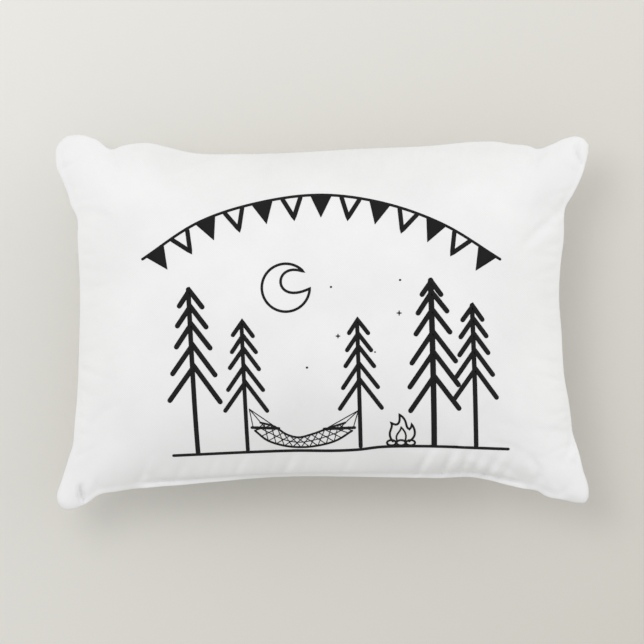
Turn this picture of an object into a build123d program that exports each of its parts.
from build123d import *

import os
from math import comb

import numpy

# A throw pillow: a zipped cloth cover round a fibre-filled insert. It lies on its back.
# +Z is the outward side of the printed front, +X runs along the long edges, and the long edge
# at -Y holds the zip. The origin is the middle of the flat face that it rests on. Millimetres.

# Overall shape
LENGTH = 396.0  # over the corner tips, along X
WIDTH = 274.0  # over the corner tips, along Y
THICKNESS = 130.0  # from the rest face to the crown of the front
SEAM_HEIGHT = 62.0  # the seam plane, above the rest face
BACK_FULLNESS = 76.0  # depth of the back's dome before the rest face flattens it
SHORT_EDGE_BOW = 20.0  # how far the middle of each short edge is drawn in
LONG_EDGE_BOW = 17.0  # how far the middle of each long edge is drawn in
CROWN_SQUARENESS = 0.6  # 0 gives a parabolic crown, more gives steeper sides
U_DEGREE, V_DEGREE = 11, 7  # degrees of the skin's formula along X and along Y

# Cloth and thread, with depths counted inward from the cover's outside
CLOTH = 0.8
ALLOWANCE = 10.0  # seam allowance, folded back against the inside of its own panel
CLIPPED_CORNER = 14.0  # where the allowance stops short of each corner
OVERLOCK = (10.3, 11.8)  # the band of thread on the allowance's raw edge
SEAM_STITCH = 0.3
INSERT_RIM, INSERT_DEPTH, CASING = 9.9, 3.1, 0.4

# Zip: a coil chain sewn behind its tapes, in the middle of the -Y edge
CHAIN_LENGTH = 254.0
MOUTH = 3.3  # half the opening between the two folded lips
TAPE_OUT, TAPE_THICKNESS = 5.6, 0.5  # the flat part of each tape, in from the edge
TAPE_SLIT, TAPE_FLAT, TAPE_TAIL = 1.2, 4.9, 9.0
TAPE_SEWN = (6.5, 10.5)  # the band of each tape that lies against the allowance
TAPE_INSET = 1.9
COIL_PITCH, COIL_TOOTH, COIL_REACH = 1.4, 0.5, 0.7
COIL_SPINE, COIL_EDGE, COIL_THICKNESS = 1.4, 2.3, 1.6
RUNNING_GAP = 0.3  # between the slider and what it runs along
SLIDER_LENGTH, SLIDER_PLATE, SLIDER_HALF_WIDTH, FLANGE_REACH = 10.0, 1.0, 2.9, 1.0
POST_LENGTH, POST_HALF_WIDTH = 2.2, 0.8
BRIDGE_HALF_WIDTH, BRIDGE_BAR = 0.7, 0.9
PULL_LENGTH, PULL_THICKNESS, PULL_GAP = 18.0, 1.1, 0.4

# Derived places
EDGE_Y = -(WIDTH / 2 - LONG_EDGE_BOW)  # the zip edge, where it runs straight
TAPE_Y = EDGE_Y + TAPE_OUT  # outward face of the flat tape
COIL_Y = TAPE_Y + TAPE_THICKNESS
BACK_PLATE_Y = COIL_Y + COIL_THICKNESS + RUNNING_GAP
FACE_PLATE_Y = TAPE_Y - RUNNING_GAP  # inward face of the slider's face plate
FLANGE_Z = COIL_EDGE + RUNNING_GAP
SLIDER_END_X = CHAIN_LENGTH / 2 + 3.0  # leading end of the slider when the zip is closed
PULL_PIVOT_X = SLIDER_END_X - 4.5
PULL_PIVOT_Y = FACE_PLATE_Y - SLIDER_PLATE - PULL_GAP - PULL_THICKNESS / 2
ZIP_HALF = CHAIN_LENGTH / 2 + TAPE_TAIL
BIG = 2 * LENGTH


# Curved surfaces and solids


def crown(s):
    """Share of the full depth at s, which runs from -1 to 1 across the pillow."""
    return (1 - s**2) * (1 + CROWN_SQUARENESS * s**2)


def skin_point(u, v, rim, depth, side):
    """A point on the front skin (side 1) or the back skin (side -1), u and v from -1 to 1.

    The skin is drawn in by rim along X and Y, and by depth along Z.
    """
    full_depth = THICKNESS - SEAM_HEIGHT if side > 0 else BACK_FULLNESS
    return (
        u * (LENGTH / 2 - rim - SHORT_EDGE_BOW * (1 - v**4) * u**2),
        v * (WIDTH / 2 - rim - LONG_EDGE_BOW * (1 - u**10) * v**2),
        SEAM_HEIGHT + side * (full_depth - depth) * crown(u) * crown(v),
    )


def from_samples(degree):
    """The matrix that turns degree + 1 even samples of a curve into its Bezier poles."""
    places = numpy.linspace(0, 1, degree + 1)
    weights = [
        [comb(degree, k) * s**k * (1 - s) ** (degree - k) for k in range(degree + 1)]
        for s in places
    ]
    return numpy.linalg.inv(weights)


def bezier_face(point, s_degree, t_degree):
    """The face that a polynomial point(s, t) sweeps, for s and t from 0 to 1."""
    t_places = numpy.linspace(0, 1, t_degree + 1)
    samples = [[point(s, t) for t in t_places] for s in numpy.linspace(0, 1, s_degree + 1)]
    poles = numpy.einsum(
        "ai,bj,ijk->abk", from_samples(s_degree), from_samples(t_degree), samples
    )
    return Face.make_bezier_surface([[Vector(*pole) for pole in row] for row in poles.tolist()])


def curved_solid(point):
    """The solid that a polynomial point(s, t, w) fills, for s, t and w from 0 to 1."""
    faces = []
    for end in (0, 1):
        faces.append(bezier_face(lambda s, t: point(s, t, end), U_DEGREE, V_DEGREE))
        faces.append(bezier_face(lambda s, w: point(s, end, w), U_DEGREE, 1))
        faces.append(bezier_face(lambda t, w: point(end, t, w), V_DEGREE, 1))
    return Solid(Shell(faces))


def between(limits, share):
    """The value that share of the way from the first limit to the second."""
    return limits[0] + (limits[1] - limits[0]) * share


def patch(u, v, rim, depth, side):
    """A patch of cloth along the skin. Each of u, v, rim and depth is a pair of limits."""

    def point(s, t, w):
        return skin_point(between(u, s), between(v, t), between(rim, w), between(depth, w), side)

    return curved_solid(point)


def edge_bands(far, rim, depth, side):
    """Four bands of cloth or thread, one along each edge and clear of the corners.

    far is a pair of distances in from the edge, as they would be if the edges didn't bow.
    """
    u_far, v_far = [[1 - d / (size / 2) for d in far] for size in (LENGTH, WIDTH)]
    u_end, v_end = [1 - CLIPPED_CORNER / (size / 2) for size in (LENGTH, WIDTH)]
    bands = []
    for end in (1, -1):
        bands.append(patch((-u_end, u_end), [end * v for v in v_far], rim, depth, side))
        bands.append(patch([end * u for u in u_far], (-v_end, v_end), rim, depth, side))
    return bands


def half_dome(rim, depth, side):
    """The space between the seam plane and one skin, down to the rest face on the back."""

    def point(s, t):
        return skin_point(2 * s - 1, 2 * t - 1, rim, depth, side)

    dome = bezier_face(point, U_DEGREE, V_DEGREE)
    base = Face(Wire(dome.outer_wire().edges()))
    whole = Solid(Shell([dome, base]))
    if side > 0:
        return whole
    return whole & block((-BIG, BIG), (-BIG, BIG), (depth - SEAM_HEIGHT, BIG))


# Flat shapes


def block(x, y, z):
    """A box from pairs of limits, with z counted from the seam plane."""
    size = [high - low for low, high in (x, y, z)]
    middle = [(low + high) / 2 for low, high in (x, y, z)]
    return Pos(middle[0], middle[1], middle[2] + SEAM_HEIGHT) * Box(*size)


def on_side(side, low, high):
    """Limits above the seam plane (side 1), or mirrored below it (side -1)."""
    return (low, high) if side > 0 else (-high, -low)


def chain_plate(outline, near_y, thickness):
    """A flat outline in X and Z, centred on the seam plane, made solid from near_y inward."""
    far_y = near_y + thickness
    upright = Plane(origin=(0, far_y, SEAM_HEIGHT), x_dir=(1, 0, 0), z_dir=(0, -1, 0))
    return extrude(upright * outline, thickness)


def zip_mouth():
    """The slot along the zip edge, between the two lips."""
    return block((-ZIP_HALF, ZIP_HALF), (-BIG, -WIDTH / 4), (-MOUTH, MOUTH))


# Cover


def cover_panel(side):
    """One face of the cover with its folded seam allowance, cut away at the zip's mouth."""
    panel = half_dome(0, 0, side) - half_dome(CLOTH, CLOTH, side)
    fold = (0.75 * CLOTH, 2 * CLOTH)
    for band in edge_bands((0, ALLOWANCE), fold, fold, side):
        panel += band
    return panel - zip_mouth()


def cover_seam_thread():
    """The lockstitch round the seam, just inside the folds, open along the zip."""
    inset = (2 * CLOTH + 0.1, 2 * CLOTH + 0.4)
    bands = edge_bands((0, SEAM_STITCH), inset, inset, 1)
    return Compound([run for band in bands for run in (band - zip_mouth()).solids()])


def overlock_thread(side):
    """Thread that binds the raw edge of one panel's allowance."""
    inset = (CLOTH + 0.15, CLOTH + 0.75)
    return Compound(edge_bands(OVERLOCK, inset, inset, side))


def care_label():
    """A blank folded label, sewn into the left seam inside the cover."""
    inset = (2 * CLOTH + 0.15, 2 * CLOTH + 0.55)
    return patch((-0.995, -0.82), (-0.30, -0.06), inset, inset, -1)


# Zip


def zip_tape(side):
    """Woven tape: flat beside the slit, then bent back to lie against the allowance."""
    u_end = ZIP_HALF / (LENGTH / 2)
    sewn_v = [d / (WIDTH / 2) - 1 for d in TAPE_SEWN]
    inset = (TAPE_INSET, TAPE_INSET + TAPE_THICKNESS)

    def bend(s, t, w):
        x = between((-ZIP_HALF, ZIP_HALF), s)
        flat_end = (x, between((TAPE_Y, COIL_Y), w), SEAM_HEIGHT + side * TAPE_FLAT)
        depth = between(inset, w)
        sewn_end = skin_point(between((-u_end, u_end), s), sewn_v[0], depth, depth, side)
        return [between(ends, t) for ends in zip(flat_end, sewn_end)]

    flat = block((-ZIP_HALF, ZIP_HALF), (TAPE_Y, COIL_Y), on_side(side, TAPE_SLIT, TAPE_FLAT))
    return flat + curved_solid(bend) + patch((-u_end, u_end), sewn_v, inset, inset, side)


def zip_stitching(side):
    """The thread line that sews one tape to its panel."""
    u_end = (CHAIN_LENGTH / 2 + 4) / (LENGTH / 2)
    middle = sum(TAPE_SEWN) / 2
    v = [d / (WIDTH / 2) - 1 for d in (middle, middle + SEAM_STITCH)]
    under_tape = TAPE_INSET + TAPE_THICKNESS
    inset = (under_tape + 0.05, under_tape + 0.05 + SEAM_STITCH)
    return patch((-u_end, u_end), v, inset, inset, side)


def zip_coil(side):
    """One side of the chain as a comb: a spine, and teeth that reach past the seam plane."""
    start = -CHAIN_LENGTH / 2 + (0 if side > 0 else COIL_PITCH / 2)
    corners = [(start, COIL_EDGE)]
    for n in range(int(CHAIN_LENGTH / COIL_PITCH)):
        tooth = start + n * COIL_PITCH
        corners += [(tooth, COIL_SPINE), (tooth, -COIL_REACH)]
        corners += [(tooth + COIL_TOOTH, -COIL_REACH), (tooth + COIL_TOOTH, COIL_SPINE)]
    end = tooth + COIL_PITCH / 2
    corners += [(end, COIL_SPINE), (end, COIL_EDGE)]
    outline = Polyline(*[(x, side * z) for x, z in corners], close=True)
    return chain_plate(make_face(outline), COIL_Y, COIL_THICKNESS)


def zip_top_stops():
    """Two stops on the tapes, just past the closed slider."""
    x = (SLIDER_END_X + 0.8, SLIDER_END_X + 3.0)
    y = (COIL_Y, COIL_Y + COIL_THICKNESS)
    return Compound([block(x, y, on_side(side, TAPE_SLIT + 0.1, 2.6)) for side in (1, -1)])


def zip_bottom_stop():
    """The stop across both coils at the open end."""
    end = -CHAIN_LENGTH / 2 - 0.6
    return block((end - 2.4, end), (COIL_Y, COIL_Y + COIL_THICKNESS), (-COIL_EDGE, COIL_EDGE))


def slider_bridge(x):
    """The arch on the face plate that holds the pull, between a pair of places along X."""
    foot = FACE_PLATE_Y - SLIDER_PLATE
    top = PULL_PIVOT_Y - PULL_THICKNESS / 2 - PULL_GAP - BRIDGE_BAR
    arch = block(x, (top, foot), (-BRIDGE_HALF_WIDTH, BRIDGE_HALF_WIDTH))
    arch = fillet(arch.edges().filter_by(Axis.Z).group_by(Axis.Y)[0], 0.8)
    window_x = (x[0] + BRIDGE_BAR, x[1] - BRIDGE_BAR)
    return arch - block(window_x, (top + BRIDGE_BAR, foot), (-BRIDGE_BAR, BRIDGE_BAR))


def zip_slider_body():
    """Plates before and behind the tapes, flanges round the coils, a post and a bridge."""
    x = (SLIDER_END_X - SLIDER_LENGTH, SLIDER_END_X)
    flange_edge = FLANGE_Z + 0.9
    middle = Pos(sum(x) / 2, 0)
    back = middle * RectangleRounded(SLIDER_LENGTH, 2 * flange_edge, 1.6)
    face = middle * RectangleRounded(SLIDER_LENGTH, 2 * SLIDER_HALF_WIDTH, 1.6)
    slider = chain_plate(back, BACK_PLATE_Y, SLIDER_PLATE)
    slider += chain_plate(face, FACE_PLATE_Y - SLIDER_PLATE, SLIDER_PLATE)
    flange_y = (BACK_PLATE_Y - FLANGE_REACH, BACK_PLATE_Y)
    for side in (1, -1):
        slider += block((x[0] + 1.6, x[1] - 1.6), flange_y, on_side(side, FLANGE_Z, flange_edge))
    post_y = (FACE_PLATE_Y, BACK_PLATE_Y)
    slider += block((x[1] - POST_LENGTH, x[1]), post_y, (-POST_HALF_WIDTH, POST_HALF_WIDTH))
    return slider + slider_bridge((x[0] + 1.2, x[1] - 1.2))


def zip_pull_tab():
    """The pull: a flat tab, whose end bar is caught under the bridge, lying in the mouth."""
    tip_x = PULL_PIVOT_X + PULL_THICKNESS / 2 - PULL_LENGTH
    tab = Pos(tip_x + PULL_LENGTH / 2, 0) * RectangleRounded(PULL_LENGTH, 2 * SLIDER_HALF_WIDTH, 1.4)
    slot_length = 5.0
    slot_x = PULL_PIVOT_X - PULL_THICKNESS / 2 - slot_length / 2
    slot = Pos(slot_x, 0) * Rectangle(slot_length, 2.3)
    hole = Pos(tip_x + 3.6, 0) * Circle(1.4)
    return chain_plate(tab - slot - hole, PULL_PIVOT_Y - PULL_THICKNESS / 2, PULL_THICKNESS)


# Insert


def insert_casing(side):
    """One half of the insert's non-woven casing."""
    outside = half_dome(INSERT_RIM, INSERT_DEPTH, side)
    return outside - half_dome(INSERT_RIM + CASING, INSERT_DEPTH + CASING, side)


def insert_seam_thread():
    """Thread round the insert's edge, outside the casing."""
    rim = (INSERT_RIM - 0.4, INSERT_RIM - 0.05)
    return Compound(edge_bands((0, SEAM_STITCH), rim, (INSERT_DEPTH, INSERT_DEPTH), 1))


def insert_closing_stitches():
    """Whip stitches across the insert's seam, where it was filled and then closed."""
    edge = -EDGE_Y - INSERT_RIM + 0.5
    return Compound([block((x, x + 1.0), (edge, edge + 0.4), (-2.0, 2.0)) for x in range(-44, 45, 8)])


def insert_label():
    """A blank label, sewn into the insert's right seam and lying on its back."""
    rim = (INSERT_RIM - 1.0, INSERT_RIM - 0.6)
    depth = (INSERT_DEPTH - 0.6, INSERT_DEPTH - 0.2)
    return patch((0.82, 0.995), (0.15, 0.38), rim, depth, -1)


def fibre_fill():
    """The loose fibre, as one lump that fills the casing."""
    rim, depth = INSERT_RIM + CASING + 0.1, INSERT_DEPTH + CASING + 0.1
    return half_dome(rim, depth, 1) + half_dome(rim, depth, -1)


NODES = {
    "cover_front_panel": cover_panel(1),
    "cover_back_panel": cover_panel(-1),
    "cover_seam_thread": cover_seam_thread(),
    "overlock_thread_front": overlock_thread(1),
    "overlock_thread_back": overlock_thread(-1),
    "care_label": care_label(),
    "zip_tape_front": zip_tape(1),
    "zip_tape_back": zip_tape(-1),
    "zip_stitching_front": zip_stitching(1),
    "zip_stitching_back": zip_stitching(-1),
    "zip_coil_front": zip_coil(1),
    "zip_coil_back": zip_coil(-1),
    "zip_top_stops": zip_top_stops(),
    "zip_bottom_stop": zip_bottom_stop(),
    "zip_slider_body": zip_slider_body(),
    "zip_pull_tab": zip_pull_tab(),
    "insert_casing_front": insert_casing(1),
    "insert_casing_back": insert_casing(-1),
    "insert_seam_thread": insert_seam_thread(),
    "insert_closing_stitches": insert_closing_stitches(),
    "insert_label": insert_label(),
    "fibre_fill": fibre_fill(),
}

os.makedirs("parts", exist_ok=True)
for name, shape in NODES.items():
    export_step(shape, f"parts/{name}.step")
